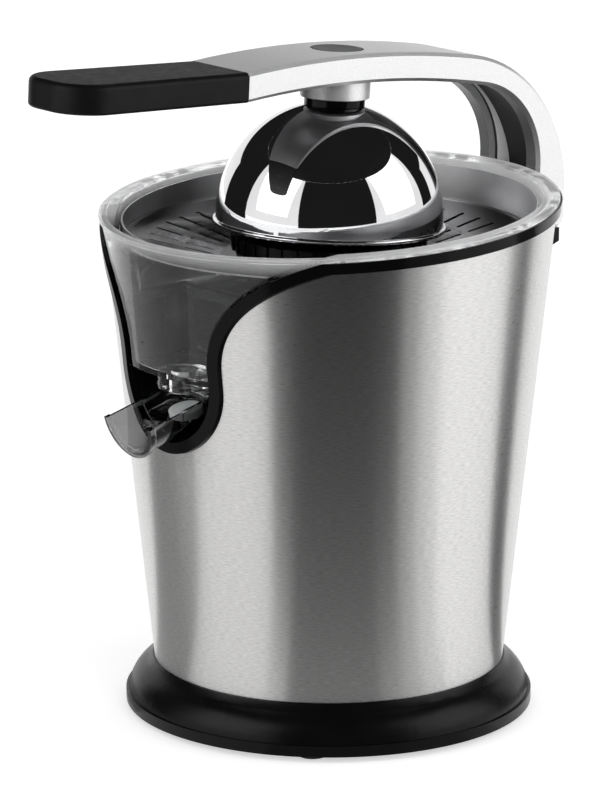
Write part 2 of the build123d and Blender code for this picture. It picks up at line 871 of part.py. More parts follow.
with BuildPart() as sieve_wall:
    with BuildSketch(Plane.XZ):
        with BuildLine():
            Polyline(
                (sieve_wall_radius, sieve_ring_z),
                (sieve_wall_radius + sheet, sieve_ring_z),
                (sieve_lip_radius + sheet, tall),
                (sieve_lip_radius, tall),
                close=True,
            )
        make_face()
    revolve(axis=Axis.Z)
    split(bisect_by=sloped(rim_top - sieve_lip), keep=Keep.BOTTOM)
save(sieve_wall, "sieve_wall")


def cone_profile(step):
    """Half section of the reamer's pointed cone, larger by a step."""
    foot = (reamer_cone_radius + step, cone_bottom)
    head = (reamer_tip_radius, cone_top + step)
    middle = ((foot[0] + head[0]) / 2 + reamer_cone_bulge, (foot[1] + head[1]) / 2 + reamer_cone_bulge)
    with BuildSketch(Plane.XZ) as section:
        with BuildLine():
            Line((0, cone_bottom), foot)
            ThreePointArc(foot, middle, head)
            Polyline(head, (0, reamer_top + step), (0, cone_bottom))
        make_face()
    return section.sketch


# Reamer: ribbed cone on a ribbed skirt, hollow below, with a hub for the spindle
with BuildPart() as reamer_rib:
    extrude(cone_profile(reamer_rib_height), amount=reamer_rib_width / 2, both=True)

with BuildPart() as reamer:
    with BuildSketch(Plane.XZ):
        with BuildLine():
            Polyline(
                (0, reamer_bottom), (reamer_radius, reamer_bottom), (reamer_radius, skirt_top),
                (reamer_cone_radius, cone_bottom), (0, cone_bottom), close=True,
            )
        make_face()
    revolve(axis=Axis.Z)
    revolve(cone_profile(0), axis=Axis.Z)
    with PolarLocations(0, reamer_rib_count):
        add(reamer_rib.part)
    with BuildSketch(Plane.XY.offset(reamer_bottom)):
        with PolarLocations(reamer_radius, skirt_rib_count):
            Rectangle(2 * skirt_rib_height, skirt_rib_width)
    extrude(amount=reamer_skirt_height)
    with BuildSketch(Plane.XZ):
        with BuildLine():
            Polyline(
                (0, reamer_bottom),
                (reamer_radius - reamer_wall, reamer_bottom),
                (reamer_radius - reamer_wall, skirt_top - reamer_wall),
                (reamer_cone_radius - reamer_wall, cone_bottom - reamer_wall),
                (reamer_hub_radius, spindle_top),
                (reamer_hub_radius, hub_bottom),
                (0, hub_bottom),
                close=True,
            )
        make_face()
    revolve(axis=Axis.Z, mode=Mode.SUBTRACT)
    with BuildSketch(Plane.XY.offset(hub_bottom)):
        RegularPolygon(hex_radius + running, 6)
    extrude(amount=spindle_top - hub_bottom + fit, mode=Mode.SUBTRACT)
save(reamer, "reamer")

# Inner deck on four posts, with a boss round the spindle and a notch for the bowl's chamber
deck_radius = shell_radius(deck_bottom) - shell_wall - slack
deck_screw_places = [(x, y) for x in (-case_boss_x, case_boss_x) for y in case_boss_ys]
bracket_screw_y = bracket_root_y + bracket_screw_inset
bracket_screw_places = [(-bracket_screw_x, bracket_screw_y), (bracket_screw_x, bracket_screw_y)]
with BuildPart() as inner_deck:
    with BuildSketch(Plane.XY.offset(deck_bottom)):
        Circle(deck_radius)
    extrude(amount=deck_thickness)
    with BuildSketch(Plane.XY.offset(base_top)):
        with Locations(*post_places):
            Circle(post_radius)
    extrude(amount=deck_bottom - base_top)
    with BuildSketch(Plane.XY.offset(deck_top)):
        Circle(deck_boss_radius)
    extrude(amount=deck_boss_height)
    notch_back = Plane.XZ.offset(chamber_back - deck_notch_gap)
    extrude(opening(-slack, None, notch_back), amount=front_reach, mode=Mode.SUBTRACT)
    with BuildSketch(Plane.XY.offset(deck_bottom)):
        Circle(seal_radius + running)
        with Locations(*deck_screw_places, *bracket_screw_places):
            Circle(screw_radius + fit)
    extrude(amount=deck_thickness + deck_boss_height, mode=Mode.SUBTRACT)
    with BuildSketch(Plane.XY.offset(deck_top)):
        with Locations(*deck_screw_places):
            Circle(screw_head_radius + fit)
    extrude(amount=-screw_head_height - fit, mode=Mode.SUBTRACT)
    with BuildSketch(Plane.XY.offset(base_top)):
        with Locations(*post_places):
            Circle(screw_radius + running)
    extrude(amount=post_hole_depth, mode=Mode.SUBTRACT)
save(inner_deck, "inner_deck")

deck_screws = screws(deck_screw_places, deck_top - screw_head_height - fit, screw_length)
save(deck_screws, "deck_screws")

spindle_seal = tube(spindle_radius + running, seal_radius, deck_boss_top - seal_height, deck_boss_top)
save(spindle_seal, "spindle_seal")

# Hinge bracket: a root through the shell, and a tongue that carries the hinge bush
bracket_low = deck_top - bracket_drop
with BuildPart() as hinge_bracket:
    with BuildSketch(Plane.YZ):
        with BuildLine():
            Polyline(
                (bracket_root_y, deck_top),
                (shell_radius(deck_top) + fit, deck_top),
                (shell_radius(bracket_low) + fit, bracket_low),
                (bracket_rear, bracket_top - bracket_nose),
                (bracket_rear, bracket_top),
                (bracket_root_y, bracket_top),
                close=True,
            )
        make_face()
    extrude(amount=bracket_half_width, both=True)
    with BuildSketch(Plane.YZ):
        with Locations((pivot_y, pivot_z)):
            Circle(tongue_radius)
        with Locations((pivot_y, (pivot_z + bracket_top) / 2)):
            Rectangle(2 * tongue_radius, bracket_clearance)
    extrude(amount=tongue_half_width, both=True)
    with BuildSketch(Plane.YZ):
        with Locations((pivot_y, pivot_z)):
            Circle(bush_outer_radius)
    extrude(amount=bracket_half_width, both=True, mode=Mode.SUBTRACT)
    with BuildSketch(Plane.XY.offset(bracket_top)):
        with Locations(*bracket_screw_places):
            Circle(screw_head_radius + fit)
    extrude(amount=-screw_head_height - fit, mode=Mode.SUBTRACT)
    with BuildSketch(Plane.XY.offset(bracket_top)):
        with Locations(*bracket_screw_places):
            Circle(screw_radius + fit)
    extrude(amount=deck_bottom - bracket_top, mode=Mode.SUBTRACT)
save(hinge_bracket, "hinge_bracket")

bracket_screw_seat = bracket_top - screw_head_height - fit
bracket_screws = screws(bracket_screw_places, bracket_screw_seat, bracket_screw_seat - deck_bottom)
save(bracket_screws, "bracket_screws")

with BuildPart() as hinge_bush:
    with BuildSketch(Plane.YZ):
        with Locations((pivot_y, pivot_z)):
            Circle(bush_outer_radius)
            Circle(hinge_pin_radius + running, mode=Mode.SUBTRACT)
    extrude(amount=tongue_half_width, both=True)
save(hinge_bush, "hinge_bush")

with BuildPart() as hinge_pin:
    with BuildSketch(Plane.YZ):
        with Locations((pivot_y, pivot_z)):
            Circle(hinge_pin_radius)
    extrude(amount=arm_half_width - fit, both=True)
save(hinge_pin, "hinge_pin")

# Gear case base: tray with the lower spindle bush and the idler's axle
case_centre = (0, case_middle)
case_width = 2 * case_half_width
case_length = case_rear - case_front
motor_pillar_places = [
    (
        motor_at[0] + motor_pillar_circle * cos(radians(angle)),
        motor_at[1] + motor_pillar_circle * sin(radians(angle)),
    )
    for angle in motor_pillar_angles
]
with BuildPart() as gear_case_base:
    with BuildSketch(Plane(origin=(*case_centre, case_floor))):
        RectangleRounded(case_width, case_length, case_corner)
    extrude(amount=case_base_height)
    with BuildSketch(Plane(origin=(*case_centre, case_floor_top))):
        RectangleRounded(case_width - 2 * case_wall, case_length - 2 * case_wall, case_corner - case_wall)
    extrude(amount=case_base_height, mode=Mode.SUBTRACT)
    with BuildSketch(Plane.XY.offset(bush_bottom)):
        Circle(spindle_bush_radius + spindle_bush_wall)
    extrude(amount=spindle_bush_length)
    with BuildSketch(Plane.XY.offset(bush_bottom)):
        Circle(spindle_bush_radius)
    extrude(amount=spindle_bush_length, mode=Mode.SUBTRACT)
    with BuildSketch(Plane.XY.offset(case_floor)):
        with Locations(motor_at):
            Circle(motor_bush_radius)
        with Locations(idler_at):
            Circle(idler_axle_radius)
        with Locations(*motor_pillar_places):
            Circle(screw_radius + fit)
    extrude(amount=case_wall, mode=Mode.SUBTRACT)
save(gear_case_base, "gear_case_base")

spindle_lower_bush = tube(
    spindle_journal_radius + running, spindle_bush_radius, bush_bottom, bush_top
)
save(spindle_lower_bush, "spindle_lower_bush")

# Gear case cover: roof with the upper spindle bush and four bosses up to the deck
with BuildPart() as gear_case_cover:
    with BuildSketch(Plane(origin=(*case_centre, case_split + running))):
        RectangleRounded(case_width, case_length, case_corner)
    extrude(amount=case_cover_height - running)
    with BuildSketch(Plane(origin=(*case_centre, case_split))):
        RectangleRounded(case_width - 2 * case_wall, case_length - 2 * case_wall, case_corner - case_wall)
    extrude(amount=case_roof - case_split, mode=Mode.SUBTRACT)
    with BuildSketch(Plane.XY.offset(case_top)):
        with Locations(*deck_screw_places):
            Circle(case_boss_radius)
    extrude(amount=deck_bottom - case_top)
    with BuildSketch(Plane.XY.offset(deck_bottom)):
        with Locations(*deck_screw_places):
            Circle(screw_radius + running)
    extrude(amount=-screw_length, mode=Mode.SUBTRACT)
    with BuildSketch(Plane.XY.offset(case_roof)):
        Circle(neck_bush_radius)
        with Locations(idler_at):
            Circle(idler_axle_radius)
    extrude(amount=case_wall, mode=Mode.SUBTRACT)
save(gear_case_cover, "gear_case_cover")

spindle_upper_bush = tube(spindle_radius + running, neck_bush_radius, case_roof, case_top)
save(spindle_upper_bush, "spindle_upper_bush")

# Spindle: journal, hexagon through the output gear, round neck with a shoulder, hexagon in the reamer
with BuildPart() as drive_spindle:
    with BuildSketch(Plane.XY.offset(journal_bottom)):
        Circle(spindle_journal_radius)
    extrude(amount=spindle_journal_length)
    with BuildSketch(Plane.XY.offset(journal_top)):
        RegularPolygon(hex_radius, 6)
    extrude(amount=spindle_top - journal_top)
    with BuildSketch(Plane.XY.offset(case_roof - press_travel)):
        Circle(spindle_radius)
    extrude(amount=hub_bottom - case_roof + press_travel - fit)
    with BuildSketch(Plane.XY.offset(collar_top)):
        Circle(spindle_shoulder_radius)
    extrude(amount=spindle_shoulder_height)
save(drive_spindle, "drive_spindle")

spindle_clip = tube(spindle_journal_radius, clip_radius, journal_bottom, journal_bottom + clip_thickness)
save(spindle_clip, "spindle_clip")

# Thrust collar under the spindle's shoulder, and the spring that lifts it
with BuildPart() as thrust_collar:
    with BuildSketch(Plane.XY.offset(spring_top)):
        Circle(collar_radius)
    extrude(amount=collar_height)
    with BuildSketch(Plane.XY.offset(spring_top)):
        Circle(spindle_radius + running + collar_sleeve_wall)
    extrude(amount=-collar_sleeve_length)
    with BuildSketch(Plane.XY.offset(spring_top - collar_sleeve_length)):
        Circle(spindle_radius + running)
    extrude(amount=collar_sleeve_length + collar_height, mode=Mode.SUBTRACT)
save(thrust_collar, "thrust_collar")

spring_end = spring_wire + running
spring_rise = spring_space - 2 * spring_end
with BuildPart() as return_spring:
    with BuildLine() as spring_path:
        Helix(spring_rise / spring_turns, spring_rise, spring_radius, center=(0, 0, case_top + spring_end))
    with BuildSketch(Plane(origin=spring_path.line @ 0, z_dir=spring_path.line % 0)):
        Circle(spring_wire)
    sweep(is_frenet=True)
save(return_spring, "return_spring")

# Start switch on the gear case, with the plunger under the collar
switch_inner = collar_radius - plunger_radius - plunger_inset
plunger_x = collar_radius - plunger_radius - slack
plunger_top = spring_top - running
switch_top = case_top + switch_height
with BuildPart() as start_switch:
    with BuildSketch(Plane(origin=(switch_inner + switch_length / 2, 0, case_top))):
        Rectangle(switch_length, switch_width)
    extrude(amount=switch_height)
    with BuildSketch(Plane(origin=(plunger_x, 0, switch_top))):
        Circle(plunger_radius + running)
    extrude(amount=-plunger_depth - press_travel, mode=Mode.SUBTRACT)
save(start_switch, "start_switch")

switch_plunger = tube(0, plunger_radius, switch_top - plunger_depth, plunger_top, (plunger_x, 0))
save(switch_plunger, "switch_plunger")

# Gears: motor pinion, idler gear with its pinion, and the output gear on the spindle's hexagon
half_pitch = 180
mesh_up = 90
output_turn = mesh_up
idler_pinion_turn = -mesh_up + half_pitch / idler_pinion_teeth
idler_gear_turn = motor_bearing_angle
motor_pinion_turn = motor_bearing_angle + half_pitch + half_pitch / motor_pinion_teeth
idler_bore = idler_axle_radius + running
motor_pinion = gear(
    motor_pinion_teeth, first_module, motor_pinion_turn, motor_at,
    first_gear_z - gear_layer_gap / 2, first_gear_face + gear_layer_gap, motor_shaft_radius,
)
save(motor_pinion, "motor_pinion")
idler_gear = gear(
    idler_gear_teeth, first_module, idler_gear_turn, idler_at, first_gear_z, first_gear_face, idler_bore
)
save(idler_gear, "idler_gear")
idler_pinion = gear(
    idler_pinion_teeth, second_module, idler_pinion_turn, idler_at, first_gear_top,
    second_gear_top + gear_layer_gap / 2 - first_gear_top, idler_bore,
)
save(idler_pinion, "idler_pinion")

with BuildPart() as output_gear:
    add(gear(output_gear_teeth, second_module, output_turn, (0, 0), second_gear_z, second_gear_face, 0).part)
    with BuildSketch(Plane.XY.offset(bush_top + fit)):
        Circle(output_hub_radius)
    extrude(amount=case_roof - 2 * press_travel - bush_top - 2 * fit)
    with BuildSketch(Plane.XY.offset(bush_top)):
        RegularPolygon(hex_radius + running, 6)
    extrude(amount=case_top - bush_top, mode=Mode.SUBTRACT)
save(output_gear, "output_gear")

idler_axle = tube(0, idler_axle_radius, case_floor, case_top, idler_at)
save(idler_axle, "idler_axle")

# Motor frames: cups over the stator's ends, with bush seats; the upper one hangs on three pillars
with BuildPart() as motor_upper_frame:
    with BuildSketch(Plane(origin=(*motor_at, motor_top - motor_skirt_length))):
        Circle(motor_frame_radius)
    extrude(amount=motor_skirt_length)
    with BuildSketch(Plane(origin=(*motor_at, motor_top - motor_skirt_length))):
        Circle(skirt_inner_radius)
    extrude(amount=motor_skirt_length - motor_plate, mode=Mode.SUBTRACT)
    with BuildSketch(Plane.XY.offset(motor_top)):
        with Locations(*motor_pillar_places):
            Circle(motor_pillar_radius)
    extrude(amount=motor_gap)
    with BuildSketch(Plane.XY.offset(upper_plate_z)):
        with Locations(motor_at):
            Circle(motor_bush_radius)
    extrude(amount=motor_plate, mode=Mode.SUBTRACT)
    with BuildSketch(Plane.XY.offset(case_floor)):
        with Locations(*motor_pillar_places):
            Circle(screw_radius + running)
    extrude(amount=-screw_length, mode=Mode.SUBTRACT)
save(motor_upper_frame, "motor_upper_frame")

with BuildPart() as motor_lower_frame:
    with BuildSketch(Plane(origin=(*motor_at, lower_plate_z))):
        Circle(motor_frame_radius)
    extrude(amount=motor_skirt_length)
    with BuildSketch(Plane(origin=(*motor_at, lower_plate_z + motor_plate))):
        Circle(skirt_inner_radius)
    extrude(amount=motor_skirt_length, mode=Mode.SUBTRACT)
    with BuildSketch(Plane.XY.offset(lower_plate_z)):
        with Locations(motor_at):
            Circle(motor_bush_radius)
    extrude(amount=motor_plate, mode=Mode.SUBTRACT)
save(motor_lower_frame, "motor_lower_frame")

motor_screws = screws(motor_pillar_places, case_floor_top, case_wall + screw_length - fit)
save(motor_screws, "motor_screws")

bush_bore = motor_shaft_radius + running
upper_bush_bottom = motor_top - motor_bush_length
motor_upper_bush = tube(bush_bore, motor_bush_radius, upper_bush_bottom, motor_top, motor_at)
save(motor_upper_bush, "motor_upper_bush")
lower_bush_top = lower_plate_z + motor_bush_length
motor_lower_bush = tube(bush_bore, motor_bush_radius, lower_plate_z, lower_bush_top, motor_at)
save(motor_lower_bush, "motor_lower_bush")

# Stator stack and its two end windings, rotor, shaft and fan
stator = tube(stator_bore, stator_radius, stator_bottom, stator_top, motor_at)
save(stator, "stator")
upper_winding = tube(
    winding_bore, winding_radius, upper_winding_z, upper_winding_z + winding_height, motor_at
)
save(upper_winding, "upper_winding")
lower_winding = tube(
    winding_bore, winding_radius, lower_winding_z, lower_winding_z + winding_height, motor_at
)
save(lower_winding, "lower_winding")
rotor = tube(motor_shaft_radius, stator_bore - air_gap, stator_bottom, stator_top, motor_at)
save(rotor, "rotor")
motor_shaft = tube(0, motor_shaft_radius, fan_bottom, first_gear_top + gear_layer_gap / 2, motor_at)
save(motor_shaft, "motor_shaft")

blade_start = (motor_shaft_radius + fan_hub_radius) / 2
blade_end = fan_radius - fan_disc
with BuildPart() as cooling_fan:
    with BuildSketch(Plane(origin=(*motor_at, fan_top - fan_disc))):
        Circle(fan_radius)
    extrude(amount=fan_disc)
    with BuildSketch(Plane(origin=(*motor_at, fan_bottom))):
        Circle(fan_hub_radius)
        with PolarLocations((blade_start + blade_end) / 2, fan_blades):
            Rectangle(blade_end - blade_start, fan_blade_width)
    extrude(amount=fan_height - fan_disc)
    with BuildSketch(Plane(origin=(*motor_at, fan_bottom))):
        Circle(motor_shaft_radius)
    extrude(amount=fan_height, mode=Mode.SUBTRACT)
save(cooling_fan, "cooling_fan")

# Spout: half-round trough, open at its tip, with a hub on the pin and a seat for the seal
spout_end = Plane(origin=spout_pivot, x_dir=(1, 0, 0), z_dir=spout_ahead)
spout_floor = spout_rim_rise - spout_radius + spout_wall
seal_bottom = seal_pad_rise - seal_pad_thickness
spout_up = spout_side.y_dir
seal_plane = Plane(
    origin=Vector(*spout_pivot) + spout_ahead * seal_pad_reach + spout_up * seal_bottom,
    x_dir=(1, 0, 0), z_dir=spout_up,
)
with BuildPart() as spout:
    with BuildSketch(spout_end):
        with Locations((0, spout_rim_rise)):
            Circle(spout_radius)
        with Locations((0, spout_rim_rise + spout_radius)):
            Rectangle(2 * spout_radius, 2 * spout_radius, mode=Mode.SUBTRACT)
    extrude(amount=spout_reach)
    with BuildSketch(spout_end.offset(spout_reach - spout_lip_length)):
        with Locations((0, spout_rim_rise)):
            Circle(spout_radius + spout_lip)
        with Locations((0, spout_rim_rise + spout_radius)):
            Rectangle(2 * (spout_radius + spout_lip), 2 * spout_radius, mode=Mode.SUBTRACT)
    extrude(amount=spout_lip_length)
    with BuildSketch(spout_end.offset(spout_wall)):
        with Locations((0, spout_rim_rise)):
            Circle(spout_radius - spout_wall)
    extrude(amount=spout_reach, mode=Mode.SUBTRACT)
    with BuildSketch(spout_end.offset(spout_reach * spout_step_share)):
        with Locations((0, spout_rim_rise)):
            Circle(spout_radius - spout_wall + spout_step)
    extrude(amount=spout_reach, mode=Mode.SUBTRACT)
    with BuildSketch(seal_plane):
        Circle(seal_stem_radius)
    extrude(amount=spout_floor - spout_wall / 2 - seal_bottom)
    with BuildSketch(Plane.YZ):
        with Locations(spout_pivot[1:]):
            Circle(spout_hub_radius)
    extrude(amount=spout_radius, both=True)
    with BuildSketch(Plane.YZ):
        with Locations(spout_pivot[1:]):
            Circle(spout_pin_radius + running)
    extrude(amount=spout_radius, both=True, mode=Mode.SUBTRACT)
save(spout, "spout")

with BuildPart() as spout_seal:
    with BuildSketch(seal_plane):
        Circle(seal_pad_radius)
    extrude(amount=seal_pad_thickness)
save(spout_seal, "spout_seal")

# Lever arm: bevelled L with a channel on its inner side, a tang for the grip and the dome's bolt well
with BuildPart() as lever_arm:
    extrude(
        arm_face(
            arm_rear, arm_inner, -arm_bottom, arm_front, arm_apex, arm_under_apex,
            arm_bend_radius, arm_inner_bend_radius, arm_foot_radius,
        ),
        amount=arm_half_width, both=True,
    )
    bend_inset = arm_bend_radius * (1 - sqrt(0.5))
    outer_points = (
        (-arm_rear, 0, 0),
        (bend_inset - arm_rear, arm_arch(0, arm_apex) - bend_inset, 0),
        (press_reach, arm_apex, 0),
    )
    arm_faces = lever_arm.faces()
    outer_faces = [arm_faces.sort_by_distance(arm_side.from_local_coords(point))[0] for point in outer_points]
    bevel_edges = [
        edge
        for face in outer_faces
        for edge in face.edges()
        if abs(abs(edge.center().X) - arm_half_width) < fit
    ]
    chamfer(bevel_edges, arm_bevel)
    extrude(
        arm_face(
            arm_rear - arm_back_wall, arm_inner + overrun, -arm_bottom - overrun, channel_front,
            arm_apex - arm_back_wall, arm_under_apex - overrun,
            arm_bend_radius - arm_back_wall, arm_inner_bend_radius - overrun, 0,
        ),
        amount=channel_half_width, both=True, mode=Mode.SUBTRACT,
    )
    with BuildSketch(arm_side):
        with Locations((-arm_rear, (channel_back_gap - arm_bottom) / 2)):
            Rectangle(2 * (arm_rear + arm_inner), channel_back_gap + arm_bottom)
    extrude(amount=channel_half_width, both=True, mode=Mode.SUBTRACT)
    with BuildSketch(arm_side):
        Circle(hinge_pin_radius)
    extrude(amount=arm_half_width, both=True, mode=Mode.SUBTRACT)
    with BuildSketch(arm_side):
        with Locations((arm_front + tang_length / 2, tang_middle)):
            Rectangle(tang_length + arm_bevel, tang_thickness)
    extrude(amount=tang_half_width, both=True)
    with BuildSketch(arm_plan(cap_seat)):
        with Locations((0, -press_reach)):
            Circle(cap_radius + slack)
    extrude(amount=overrun, mode=Mode.SUBTRACT)
    with BuildSketch(arm_plan(bolt_seat)):
        with Locations((0, -press_reach)):
            Circle(bolt_well_radius)
    extrude(amount=overrun, mode=Mode.SUBTRACT)
    with BuildSketch(arm_plan(bolt_seat)):
        with Locations((0, -press_reach)):
            Circle(bolt_radius + fit)
    extrude(amount=arm_under_apex - bolt_seat - overrun, mode=Mode.SUBTRACT)
    with BuildSketch(arm_plan(tang_middle)):
        with Locations(*[(0, -u) for u in grip_screw_us]):
            Circle(screw_radius)
    extrude(amount=-tang_thickness, mode=Mode.SUBTRACT)
save(lever_arm, "lever_arm")

# Dark liner in the arm's channel, and the cap over the dome's bolt
liner_back = arm_rear - arm_back_wall - fit
liner_apex = arm_apex - arm_back_wall - fit
channel_depth = arm_inner + liner_back
liner_open = channel_depth * (1 - liner_depth_share)
with BuildPart() as arm_liner:
    extrude(
        arm_face(
            liner_back, arm_inner - liner_open, -arm_bottom, channel_front - fit,
            liner_apex, arm_under_apex + liner_open,
            arm_bend_radius - arm_back_wall - fit, arm_inner_bend_radius + liner_open, 0,
        ),
        amount=channel_half_width - fit, both=True,
    )
    extrude(
        arm_face(
            liner_back - liner_wall, arm_inner + overrun, -arm_bottom - overrun, channel_front + overrun,
            liner_apex - liner_wall, arm_under_apex - overrun,
            arm_bend_radius - arm_back_wall - fit - liner_wall, arm_inner_bend_radius - overrun, 0,
        ),
        amount=channel_half_width - fit - liner_wall, both=True, mode=Mode.SUBTRACT,
    )
    with BuildSketch(arm_side):
        with Locations((0, (liner_start - arm_bottom) / 2)):
            Rectangle(2 * (arm_rear + arm_inner), liner_start + arm_bottom)
    extrude(amount=arm_half_width, both=True, mode=Mode.SUBTRACT)
save(arm_liner, "arm_liner")

with BuildPart() as arm_cap:
    with BuildSketch(arm_plan(cap_seat)):
        with Locations((0, -press_reach)):
            Circle(cap_radius)
    extrude(amount=cap_thickness)
save(arm_cap, "arm_cap")

# Grip over the tang, rounded in plan, with two screws from below
grip_places = [(0, -u) for u in grip_screw_us]
with BuildPart() as grip:
    with BuildSketch(arm_plan(grip_bottom)) as grip_plan:
        with BuildLine():
            Polyline(
                (arm_half_width, -grip_rear), (grip_half_width, -grip_front),
                (-grip_half_width, -grip_front), (-arm_half_width, -grip_rear), close=True,
            )
        make_face()
        fillet(grip_plan.vertices().sort_by(Axis.Y)[0:2], grip_corner)
    extrude(amount=grip_top - grip_bottom)
    grip_ends = grip.edges().filter_by(Axis.X).sort_by(Axis.Y)[-2:]
    fillet(grip.faces().sort_by(Axis(arm_pivot, arm_up))[-1].edges() - grip_ends, grip_top_round)
    fillet(grip.faces().sort_by(Axis(arm_pivot, arm_up))[0].edges() - grip_ends, grip_bottom_round)
    with BuildSketch(arm_side):
        with Locations((grip_rear + tang_length / 2, tang_middle)):
            Rectangle(tang_length + overrun, tang_thickness + 2 * fit)
    extrude(amount=tang_half_width + fit, both=True, mode=Mode.SUBTRACT)
    with BuildSketch(arm_plan(grip_bottom)):
        with Locations(*grip_places):
            Circle(screw_head_radius + fit)
    extrude(amount=screw_head_height + fit, mode=Mode.SUBTRACT)
    with BuildSketch(arm_plan(grip_bottom)):
        with Locations(*grip_places):
            Circle(screw_radius + fit)
    extrude(amount=tang_middle - grip_bottom, mode=Mode.SUBTRACT)
save(grip, "grip")

with BuildPart() as grip_screws:
    with BuildSketch(arm_plan(grip_bottom + fit)):
        with Locations(*grip_places):
            Circle(screw_head_radius)
    extrude(amount=screw_head_height)
    with BuildSketch(arm_plan(grip_bottom + fit)):
        with Locations(*grip_places):
            Circle(screw_radius)
    extrude(amount=tang_middle - grip_bottom - 2 * fit)
save(grip_screws, "grip_screws")

# Press dome: half sphere with a flat crown, on a short straight skirt with a rolled flange
dome_inside = dome_radius - dome_wall
crown_inside = sqrt(dome_inside**2 - (dome_inside_top - dome_middle) ** 2)
dome_u = press_reach + dome_radius
dome_inside_u = press_reach + dome_inside
flange_bottom = dome_height - dome_flange_height
crown_edge = (press_reach + neck_radius, dome_crown)
crown_inside_edge = (press_reach + crown_inside, dome_inside_top)
with BuildPart() as press_dome:
    with BuildSketch(arm_side):
        with BuildLine():
            Polyline((press_reach, dome_inside_top), (press_reach, dome_crown), crown_edge)
            RadiusArc(crown_edge, (dome_u, dome_middle), dome_radius)
            Polyline(
                (dome_u, dome_middle),
                (dome_u, dome_height),
                (dome_u + dome_flange_width, dome_height),
                (dome_u + dome_flange_width, flange_bottom),
                (dome_inside_u, flange_bottom),
                (dome_inside_u, dome_middle),
            )
            RadiusArc((dome_inside_u, dome_middle), crown_inside_edge, -dome_inside)
            Line(crown_inside_edge, (press_reach, dome_inside_top))
        make_face()
    revolve(axis=press_axis)
    with BuildSketch(arm_plan(dome_inside_top)):
        with Locations((0, -press_reach)):
            Circle(bolt_radius + fit)
    extrude(amount=dome_crown_thickness, mode=Mode.SUBTRACT)
save(press_dome, "press_dome")


def press_ring(inner, outer, bottom, top):
    """Ring round the press dome's axis, level with the lever."""
    with BuildPart() as piece:
        with BuildSketch(arm_plan(bottom)):
            with Locations((0, -press_reach)):
                Circle(outer)
                if inner > 0:
                    Circle(inner, mode=Mode.SUBTRACT)
        extrude(amount=top - bottom)
    return piece


dome_neck = press_ring(bolt_radius + fit, neck_radius, dome_crown, neck_top)
save(dome_neck, "dome_neck")
lever_collar = press_ring(bolt_radius + fit, lever_collar_radius, neck_top, lever_collar_top)
save(lever_collar, "lever_collar")
dome_washer = press_ring(bolt_radius + fit, washer_radius, washer_bottom, dome_inside_top)
save(dome_washer, "dome_washer")

with BuildPart() as dome_bolt:
    with BuildSketch(arm_plan(bolt_seat)):
        with Locations((0, -press_reach)):
            RegularPolygon(bolt_head_flats / 2 / cos(pi / 6), 6)
    extrude(amount=bolt_head_height)
    with BuildSketch(arm_plan(bolt_seat)):
        with Locations((0, -press_reach)):
            Circle(bolt_radius)
    extrude(amount=nut_bottom - bolt_seat - fit)
save(dome_bolt, "dome_bolt")

with BuildPart() as dome_nut:
    with BuildSketch(arm_plan(nut_bottom)):
        with Locations((0, -press_reach)):
            RegularPolygon(bolt_head_flats / 2 / cos(pi / 6), 6)
            Circle(bolt_radius, mode=Mode.SUBTRACT)
    extrude(amount=nut_height)
save(dome_nut, "dome_nut")
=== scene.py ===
import json
from math import cos, radians, sin

import bpy
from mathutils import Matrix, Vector


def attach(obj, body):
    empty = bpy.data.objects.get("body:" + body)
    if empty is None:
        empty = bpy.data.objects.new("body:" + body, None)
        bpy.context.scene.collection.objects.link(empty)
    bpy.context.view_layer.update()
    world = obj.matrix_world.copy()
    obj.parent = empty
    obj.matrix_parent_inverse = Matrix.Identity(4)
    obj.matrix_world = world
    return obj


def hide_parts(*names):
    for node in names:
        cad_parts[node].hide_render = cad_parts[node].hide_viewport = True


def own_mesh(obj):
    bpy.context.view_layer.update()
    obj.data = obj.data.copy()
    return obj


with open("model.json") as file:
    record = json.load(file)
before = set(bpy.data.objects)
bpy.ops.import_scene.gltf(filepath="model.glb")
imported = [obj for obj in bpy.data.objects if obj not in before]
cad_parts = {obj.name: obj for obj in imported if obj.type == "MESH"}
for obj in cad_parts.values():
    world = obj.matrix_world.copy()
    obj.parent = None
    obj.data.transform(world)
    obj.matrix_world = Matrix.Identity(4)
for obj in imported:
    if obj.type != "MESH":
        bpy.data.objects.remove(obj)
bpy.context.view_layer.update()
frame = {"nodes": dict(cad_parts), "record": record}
nodes = frame["nodes"]
scene = bpy.context.scene
scene.view_settings.view_transform = "Standard"

# Where the camera stands round the part: 0 is straight in front of the spout, and positive is towards +X
camera_azimuth = radians(50.0)
camera_right = Vector((cos(camera_azimuth), sin(camera_azimuth), 0))
white = (1, 1, 1, 1)


